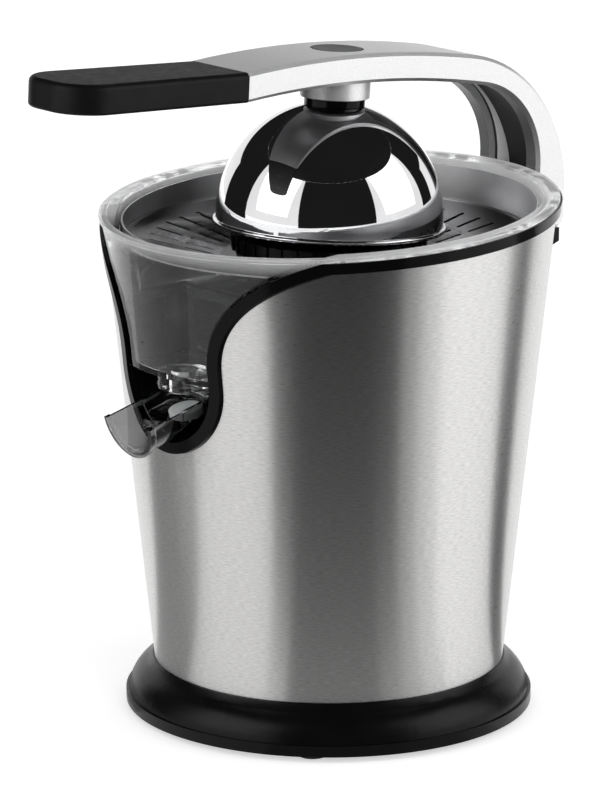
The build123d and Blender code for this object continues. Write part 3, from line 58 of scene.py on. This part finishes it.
class Surface:
    """A Principled material that is built up node by node, in the object's own coordinates."""

    # Noise mostly lies between these, so a change is spread over them
    spread_low, spread_high = 0.3, 0.7
    # Sockets of the Mix node for colours
    mix_first, mix_second, mix_result = 6, 7, 2

    def __init__(self, name, colour, **sockets):
        self.material = bpy.data.materials.new(name)
        self.material.use_nodes = True
        self.tree = self.material.node_tree
        self.shader = self.tree.nodes["Principled BSDF"]
        self.shader.inputs["Base Color"].default_value = (*colour, 1)
        for socket, value in sockets.items():
            self.shader.inputs[socket.replace("_", " ")].default_value = value
        coordinates = self.node("ShaderNodeTexCoord")
        self.place = coordinates.outputs["Object"]
        self.normal = coordinates.outputs["Normal"]

    def node(self, kind, **inputs):
        made = self.tree.nodes.new(kind)
        for socket, value in inputs.items():
            self.feed(made.inputs[socket.replace("_", " ")], value)
        return made

    def feed(self, socket, value):
        if isinstance(value, bpy.types.NodeSocket):
            self.tree.links.new(value, socket)
        else:
            socket.default_value = value

    def maths(self, operation, *values):
        made = self.tree.nodes.new("ShaderNodeMath")
        made.operation = operation
        for socket, value in zip(made.inputs, values):
            self.feed(socket, value)
        return made.outputs["Value"]

    def vectors(self, operation, *values):
        made = self.tree.nodes.new("ShaderNodeVectorMath")
        made.operation = operation
        for socket, value in zip(made.inputs, values):
            self.feed(socket, value)
        return made

    def noise(self, scale, detail=4.0, vector=None):
        made = self.node(
            "ShaderNodeTexNoise", Vector=vector or self.place, Scale=scale, Detail=detail
        )
        return made.outputs["Fac"]

    def grain(self, stretch, scale):
        """Plain noise drawn out by a different amount along each axis."""
        mapped = self.node("ShaderNodeMapping", Vector=self.place, Scale=stretch)
        return self.noise(scale, detail=0.0, vector=mapped.outputs["Vector"])

    def turned(self, along, across, radius):
        """Noise in streaks round the upright axis, with its seam at the back."""
        split = self.node("ShaderNodeSeparateXYZ", Vector=self.place)
        back = self.maths("MULTIPLY", split.outputs["Y"], -1.0)
        angle = self.maths("ARCTAN2", split.outputs["X"], back)
        run = self.maths("MULTIPLY", angle, radius / along)
        rise = self.maths("MULTIPLY", split.outputs["Z"], 1.0 / across)
        joined = self.node("ShaderNodeCombineXYZ", X=run, Y=rise)
        return self.noise(1.0, detail=3.0, vector=joined.outputs["Vector"])

    def distance(self):
        """How far a point is from the part's origin."""
        return self.vectors("LENGTH", self.place).outputs["Value"]

    def facing(self, direction):
        """How far the surface faces a direction."""
        return self.vectors("DOT_PRODUCT", self.normal, direction).outputs["Value"]

    def outward(self):
        """How far the surface faces away from the upright axis."""
        split = self.node("ShaderNodeSeparateXYZ", Vector=self.place)
        flat = self.node("ShaderNodeCombineXYZ", X=split.outputs["X"], Y=split.outputs["Y"])
        away = self.vectors("NORMALIZE", flat.outputs["Vector"])
        return self.facing(away.outputs["Vector"])

    def scaled(self, value, start, end, low, high):
        """A value between start and end becomes one between low and high."""
        made = self.node(
            "ShaderNodeMapRange", Value=value, From_Min=start, From_Max=end, To_Min=low, To_Max=high
        )
        return made.outputs["Result"]

    def between(self, value, low, high):
        return self.scaled(value, self.spread_low, self.spread_high, low, high)

    def mix(self, value, first, second):
        """Sets the base colour, from the first where a value is low to the second where it is high."""
        made = self.node("ShaderNodeMix", Factor=self.between(value, 0.0, 1.0))
        made.data_type = "RGBA"
        self.feed(made.inputs[self.mix_first], first)
        self.feed(made.inputs[self.mix_second], second)
        self.feed(self.shader.inputs["Base Color"], made.outputs[self.mix_result])
        return self

    def tint(self, value, dark, light):
        return self.mix(value, (*dark, 1), (*light, 1))

    def blend(self, value, colour):
        """Turns the tinted base colour towards another where a value is high."""
        tinted = self.shader.inputs["Base Color"].links[0].from_socket
        return self.mix(value, tinted, (*colour, 1))

    def rough(self, value, low, high):
        self.feed(self.shader.inputs["Roughness"], self.between(value, low, high))
        return self

    def bump(self, value, depth, strength=1.0):
        made = self.node("ShaderNodeBump", Height=value, Distance=depth, Strength=strength)
        self.feed(self.shader.inputs["Normal"], made.outputs["Normal"])
        return self


def shade(colour, factor):
    return tuple(channel * factor for channel in colour)


def moulded(name, colour, low, high, scale=900.0, depth=0.00003, **sockets):
    """Moulded plastic: faint mottling, uneven gloss and a fine skin."""
    made = Surface(name, colour, **sockets)
    made.tint(made.noise(scale=35.0), shade(colour, 0.85), shade(colour, 1.2))
    made.rough(made.noise(scale=60.0), low, high)
    return made.bump(made.noise(scale, detail=2.0), depth)


def metal(name, colour, low, high, scale=300.0, depth=0.00001):
    """Plain metal with small marks in its gloss."""
    made = Surface(name, colour, Metallic=1.0)
    made.tint(made.noise(scale=45.0), shade(colour, 0.92), shade(colour, 1.06))
    made.rough(made.noise(scale=120.0, detail=6.0), low, high)
    return made.bump(made.noise(scale), depth)


def brushed_shell():
    """Steel brushed round the upright axis."""
    colour = (0.66, 0.655, 0.65)
    radius = 0.085
    made = Surface("brushed_shell", colour, Metallic=1.0, Anisotropic=0.85, Anisotropic_Rotation=0.25)
    tangent = made.node("ShaderNodeTangent")
    tangent.direction_type = "RADIAL"
    tangent.axis = "Z"
    made.feed(made.shader.inputs["Tangent"], tangent.outputs["Tangent"])
    streaks = made.turned(along=0.003, across=0.00045, radius=radius)
    made.tint(streaks, shade(colour, 0.84), shade(colour, 1.12))
    made.rough(made.turned(along=0.006, across=0.0006, radius=radius), low=0.27, high=0.36)
    scratches = made.turned(along=0.0026, across=0.0005, radius=radius)
    return made.bump(scratches, depth=0.00001, strength=0.15)


def silver_paint():
    """Fine metallic paint, with painted shade on faces turned forward and down, the arm's inner side."""
    colour = (0.89, 0.89, 0.895)
    painted_shade_side = (0.0, -0.707, -0.707)
    made = Surface("silver_paint", colour, Metallic=0.65, Coat_Weight=0.15, Coat_Roughness=0.25)
    made.tint(made.noise(scale=2200.0, detail=1.0), shade(colour, 0.9), shade(colour, 1.07))
    # Painted shade: the paint turns dark grey where it faces forward and down
    made.blend(made.facing(painted_shade_side), (0.2, 0.2, 0.203))
    made.rough(made.noise(scale=500.0), low=0.34, high=0.44)
    return made.bump(made.noise(scale=1600.0, detail=1.0), depth=0.00005, strength=0.5)


def clear_plastic(name, colour, ior):
    made = Surface(name, colour, Transmission_Weight=1.0, IOR=ior)
    made.tint(made.noise(scale=20.0), shade(colour, 0.985), shade(colour, 1.0))
    return made.bump(made.noise(scale=25.0, detail=1.0), depth=0.00008, strength=0.08)


def spout_plastic():
    made = clear_plastic("smoky_plastic", (0.3, 0.3, 0.305), ior=1.85)
    return made.rough(made.noise(scale=80.0), low=0.0, high=0.03)


def bowl_plastic():
    """Clear plastic whose rim is a little milky and glows with painted light."""
    wall_ior = 1.33
    rim_start, rim_end = 0.208, 0.22
    made = clear_plastic("clear_plastic", (0.97, 0.975, 0.98), wall_ior)
    height = made.node("ShaderNodeSeparateXYZ", Vector=made.place).outputs["Z"]
    made.shader.inputs["Emission Color"].default_value = white
    for socket, wall, rim in (
        ("Transmission Weight", 1.0, 0.75),
        # Painted light: the rim glows white, though it is no lamp
        ("Emission Strength", 0.0, 0.12),
        ("IOR", wall_ior, 1.12),
        ("Roughness", 0.015, 0.4),
    ):
        made.feed(made.shader.inputs[socket], made.scaled(height, rim_start, rim_end, wall, rim))
    return made


def polished_sieve(name, colour, low=0.1, high=0.18):
    made = Surface(name, colour, Metallic=1.0)
    made.tint(made.noise(scale=60.0), shade(colour, 0.93), shade(colour, 1.05))
    made.rough(made.turned(along=0.02, across=0.0006, radius=0.06), low, high)
    return made.bump(made.noise(scale=40.0, detail=1.0), depth=0.00004, strength=0.25)


def sieve_band():
    """Satin steel, with painted shade on its outside and where it faces the camera's right."""
    made = polished_sieve("sieve_band", (0.8, 0.8, 0.81), low=0.3, high=0.4)
    # Painted shade where the wall faces the camera's right
    made.blend(made.facing(camera_right), (0.22, 0.22, 0.225))
    # Painted shade on the wall's outside
    return made.blend(made.outward(), (0.03, 0.03, 0.03))


def channel_liner():
    """Dark channel with painted light on one side wall, the one that faces +X."""
    made = moulded("liner_plastic", (0.012, 0.012, 0.012), 0.4, 0.5)
    # Painted light: the wall that faces +X turns pale grey
    return made.blend(made.facing((1.0, 0.0, 0.0)), (0.9, 0.9, 0.91))


def soft_grip():
    colour = (0.0045, 0.0045, 0.005)
    made = Surface("soft_grip", colour, Specular_IOR_Level=0.16)
    made.tint(made.noise(scale=70.0), shade(colour, 0.8), shade(colour, 1.3))
    made.rough(made.noise(scale=300.0), low=0.42, high=0.52)
    return made.bump(made.noise(scale=3000.0, detail=1.0), depth=0.00004, strength=0.5)


def laminated(name, colour):
    """Stacked sheet steel: fine level lines."""
    made = Surface(name, colour, Metallic=1.0)
    lines = made.grain(stretch=(0.0, 0.0, 1.0), scale=1800.0)
    made.tint(lines, shade(colour, 0.6), shade(colour, 1.15))
    made.rough(made.noise(scale=200.0), low=0.4, high=0.55)
    return made.bump(lines, depth=0.00008)


def wound(name, colour):
    """Enamelled wire: close level turns."""
    made = Surface(name, colour, Metallic=1.0, Coat_Weight=0.6, Coat_Roughness=0.2)
    turns = made.grain(stretch=(0.02, 0.02, 1.0), scale=1400.0)
    made.tint(turns, shade(colour, 0.5), shade(colour, 1.25))
    made.rough(made.noise(scale=200.0), low=0.25, high=0.4)
    return made.bump(turns, depth=0.0002)


black = (0.0025, 0.0025, 0.0028)
# A material for each of the record's slots: colour, then the lowest and highest roughness
slots = {
    "base_black": moulded("base_plastic", black, 0.26, 0.34, Specular_IOR_Level=0.16),
    "rubber_black": moulded("black_rubber", (0.02, 0.02, 0.02), 0.6, 0.75, scale=700.0, depth=0.00005),
    "screw_steel": metal("plated_screw", (0.62, 0.62, 0.63), 0.25, 0.4),
    "shell_steel": brushed_shell(),
    "trim_black": moulded(
        "gloss_trim", black, 0.12, 0.18, scale=300.0, depth=0.00001, Specular_IOR_Level=0.12
    ),
    "pin_steel": metal("ground_steel", (0.6, 0.6, 0.61), 0.18, 0.3),
    "clear_plastic": bowl_plastic(),
    "sieve_steel": polished_sieve("polished_sieve", (0.6, 0.6, 0.61)),
    "reamer_black": moulded("reamer_plastic", black, 0.3, 0.4, Specular_IOR_Level=0.25),
    "inner_plastic": moulded("inner_plastic", (0.03, 0.031, 0.033), 0.4, 0.55),
    "seal_silicone": moulded(
        "pale_silicone", (0.72, 0.72, 0.7), 0.45, 0.6, scale=500.0, Subsurface_Weight=0.15
    ),
    "bush_bronze": metal("sintered_bronze", (0.5, 0.33, 0.15), 0.4, 0.55, scale=900.0, depth=0.00004),
    "gear_nylon": moulded("gear_nylon", (0.72, 0.7, 0.64), 0.35, 0.5, Subsurface_Weight=0.1),
    "motor_steel": laminated("laminated_steel", (0.4, 0.4, 0.41)),
    "frame_alloy": metal("cast_alloy", (0.6, 0.6, 0.61), 0.45, 0.6, scale=600.0, depth=0.0001),
    "winding_copper": wound("copper_winding", (0.6, 0.24, 0.1)),
    "arm_silver": silver_paint(),
    "liner_black": channel_liner(),
    "cap_grey": moulded("cap_plastic", (0.07, 0.07, 0.073), 0.4, 0.5, scale=1500.0),
    "grip_black": soft_grip(),
    "dome_chrome": metal("mirror_chrome", (0.78, 0.78, 0.79), 0.015, 0.04, scale=60.0, depth=0.000004),
    "bolt_steel": metal("plated_bolt", (0.55, 0.55, 0.56), 0.25, 0.4),
}
for subpart in frame["record"]["subparts"]:
    piece = nodes[subpart["node"]]
    piece.data.materials.clear()
    piece.data.materials.append(slots[subpart["material_slot"]].material)

# Pieces that look different from the rest of their slot
for name, surface in {
    "sieve_wall": sieve_band(),
    "grip_screws": metal("black_screw", (0.03, 0.03, 0.03), 0.3, 0.45),
    # Painted shade: the dish's steel is much darker than the rest of the sieve steel
    "sieve": polished_sieve("dish_painted_shade", (0.16, 0.16, 0.165)),
    "spout": spout_plastic(),
}.items():
    nodes[name].data.materials[0] = surface.material

# The return spring, copied to ride on the body with a mesh of its own, in place of the CAD piece
spring = nodes["return_spring"].copy()
spring.data = spring.data.copy()
spring.name = "working_spring"
scene.collection.objects.link(spring)
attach(spring, "body")
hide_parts("return_spring")
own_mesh(spring)


def soften(name, width, segments=3, angle=32.0, same_point=0.000002):
    """Rounds a CAD piece's sharp edges, as moulding or polishing does."""
    piece = nodes[name]
    weld = piece.modifiers.new("weld", "WELD")
    weld.merge_threshold = same_point
    bevel = piece.modifiers.new("round", "BEVEL")
    bevel.width = width
    bevel.segments = segments
    bevel.limit_method = "ANGLE"
    bevel.angle_limit = radians(angle)
    bevel.use_clamp_overlap = True
    normals = piece.modifiers.new("normals", "WEIGHTED_NORMAL")
    normals.keep_sharp = True


for name, width in {
    "base_ring": 0.0008,
    "top_trim": 0.0008,
    "juice_bowl": 0.0005,
    "spout": 0.0005,
    "spout_seal": 0.0005,
    "spout_recess": 0.0004,
    "sieve_wall": 0.0003,
    "hinge_bracket": 0.0006,
    "lever_arm": 0.0005,
    "arm_cap": 0.0006,
    "grip": 0.0006,
    "press_dome": 0.0005,
    "dome_neck": 0.0005,
    "lever_collar": 0.0006,
    "reamer": 0.0004,
    "rubber_feet": 0.0005,
    "cord_gland": 0.0006,
}.items():
    soften(name, width)


def seen(tree):
    """1 for a ray that the camera sees straight, by reflection or through glass, and 0 for others."""
    path = tree.nodes.new("ShaderNodeLightPath")
    total = path.outputs["Is Camera Ray"]
    for kind in ("Is Glossy Ray", "Is Transmission Ray"):
        step = tree.nodes.new("ShaderNodeMath")
        step.operation = "MAXIMUM"
        tree.links.new(total, step.inputs[0])
        tree.links.new(path.outputs[kind], step.inputs[1])
        total = step.outputs["Value"]
    return total


def plain(name, colour):
    """A matt stage material."""
    return Surface(name, colour, Roughness=1.0, Specular_IOR_Level=0.0)


def glowing(name, brightness):
    """A stage material of one set brightness."""
    made = plain(name, (0, 0, 0))
    made.shader.inputs["Emission Color"].default_value = white
    made.shader.inputs["Emission Strength"].default_value = brightness
    return made


def fading(name, brightness, rate=5.26):
    """A stage material that dims with the distance from the part."""
    made = glowing(name, brightness)
    share = made.maths("EXPONENT", made.maths("MULTIPLY", made.distance(), -rate))
    strength = made.maths("MULTIPLY", share, brightness)
    made.feed(made.shader.inputs["Emission Strength"], strength)
    return made


def mesh_object(name, points, faces, surface):
    mesh = bpy.data.meshes.new(name)
    mesh.from_pydata(points, [], faces)
    mesh.materials.append(surface.material)
    made = bpy.data.objects.new(name, mesh)
    scene.collection.objects.link(made)
    return made


# Floor that keeps the shadow near the part, and turns as white as the surroundings further away
floor_span = 6.0
near, far = 0.8, 2.6
near_glow, far_glow = 0.55, 1.0
floor_surface = plain("floor", (0.8, 0.8, 0.8))
floor_glow = floor_surface.scaled(floor_surface.distance(), near, far, near_glow, far_glow)
seen_glow = floor_surface.maths("MULTIPLY", seen(floor_surface.tree), floor_glow)
emission = floor_surface.node("ShaderNodeEmission", Strength=seen_glow)
both = floor_surface.node("ShaderNodeAddShader")
floor_surface.feed(both.inputs[0], floor_surface.shader.outputs["BSDF"])
floor_surface.feed(both.inputs[1], emission.outputs["Emission"])
floor_output = floor_surface.tree.nodes["Material Output"]
floor_surface.feed(floor_output.inputs["Surface"], both.outputs["Shader"])
corners = ((-1, -1), (1, -1), (1, 1), (-1, 1))
floor = mesh_object(
    "floor", [(x * floor_span, y * floor_span, 0) for x, y in corners], [(0, 1, 2, 3)], floor_surface
)

# White surroundings, dimmer as a light
world_light, world_seen = 0.35, 1.0
world = bpy.data.worlds.new("studio")
scene.world = world
world.use_nodes = True
background = world.node_tree.nodes["Background"]
background.inputs["Color"].default_value = white
level = world.node_tree.nodes.new("ShaderNodeMapRange")
level.inputs["To Min"].default_value = world_light
level.inputs["To Max"].default_value = world_seen
world.node_tree.links.new(seen(world.node_tree), level.inputs["Value"])
world.node_tree.links.new(level.outputs["Result"], background.inputs["Strength"])


def around(offset, distance, height):
    """A point at an angle from the camera's side, in degrees to the camera's right."""
    angle = camera_azimuth + radians(offset)
    return Vector((sin(angle) * distance, -cos(angle) * distance, height))


# Cards that only reflections show: they cast no shadow and aren't in the picture
card_reach, card_top = 1.0, 1.1
floor_card_start, floor_card_height = 0.09, 0.0012
card_foot, back_card_foot = 0.001, 0.5
card_black = glowing("card_black", 0.012)


def hidden_card(name, start, end, first, second, surface, steps=24):
    """A card swept between two angles. Its two edges are each a distance and a height."""
    points = []
    for step in range(steps + 1):
        offset = start + (end - start) * step / steps
        points += [around(offset, *first), around(offset, *second)]
    faces = [(2 * i, 2 * i + 2, 2 * i + 3, 2 * i + 1) for i in range(steps)]
    card = mesh_object(name, points, faces, surface)
    card.visible_camera = False
    card.visible_diffuse = False
    card.visible_shadow = False
    card.visible_transmission = False


for name, start, end, foot in (
    ("card_front", -31, 47, card_foot),
    ("card_left", -132, -92, card_foot),
    ("card_right", 108, 126, card_foot),
    ("card_back", 126, 228, back_card_foot),
):
    hidden_card(name, start, end, (card_reach, foot), (card_reach, card_top), card_black)
floor_card_outer = (card_reach, floor_card_height)
floor_card_inner = (floor_card_start, floor_card_height)
for name, start, end, surface in (
    ("card_front_left", -29, -19, fading("fade_left", 1.2)),
    ("card_front_middle", -19, 24, fading("fade_middle", 0.56)),
    ("card_front_right", 24, 36, fading("fade_right", 0.8)),
    ("card_front_edge", 36, 46, glowing("card_edge", 0.5)),
    ("card_front_far", 46, 58, glowing("card_half", 0.74)),
    ("card_left_floor", -118, -74, glowing("card_soft", 0.34)),
    ("card_left_window", -74, -29, glowing("card_pale", 0.85)),
    ("card_right_floor", 102, 121, glowing("card_dim", 0.14)),
):
    hidden_card(name, start, end, floor_card_outer, floor_card_inner, surface)
hidden_card("card_ceiling", -180, 180, (card_reach, card_top), (0.0, card_top), card_black, steps=48)


part_middle = Vector((0, 0, 0.15))


def softbox(name, offset, distance, height, width, length, power):
    """A large area lamp aimed at the middle of the part."""
    data = bpy.data.lights.new(name, "AREA")
    data.shape = "RECTANGLE"
    data.size = width
    data.size_y = length
    data.energy = power
    lamp = bpy.data.objects.new(name, data)
    lamp.location = around(offset, distance, height)
    aim = part_middle - lamp.location
    lamp.rotation_mode = "QUATERNION"
    lamp.rotation_quaternion = aim.to_track_quat("-Z", "Y")
    scene.collection.objects.link(lamp)
    return lamp


softbox("softbox_left", -61, distance=1.5, height=1.0, width=1.2, length=1.4, power=7.0)
softbox("softbox_right", 78, distance=1.5, height=1.0, width=1.3, length=1.4, power=7.0)
softbox("softbox_back", 180, distance=1.6, height=1.6, width=1.6, length=0.9, power=5.0)
fill = softbox("softbox_fill", 15, distance=1.8, height=0.7, width=1.0, length=1.0, power=10.0)
fill.visible_glossy = False

# Camera at the photograph's place, with its focal length in the photograph's pixels
camera_distance, camera_height = 1.9791, 0.6378
pitch, yaw = radians(14.29), radians(0.307)
focal_pixels, photo_pixels = 4786.0, 800.0
away = Vector((-sin(camera_azimuth), cos(camera_azimuth), 0))
level_ahead = away * cos(yaw) - camera_right * sin(yaw)
ahead = level_ahead * cos(pitch) - Vector((0, 0, sin(pitch)))
camera_data = bpy.data.cameras.new("camera")
camera_data.sensor_width = 36.0
camera_data.lens = focal_pixels / photo_pixels * camera_data.sensor_width
camera = bpy.data.objects.new("camera", camera_data)
camera.location = around(0, camera_distance, camera_height)
camera.rotation_mode = "QUATERNION"
camera.rotation_quaternion = ahead.to_track_quat("-Z", "Y")
scene.collection.objects.link(camera)
scene.camera = camera
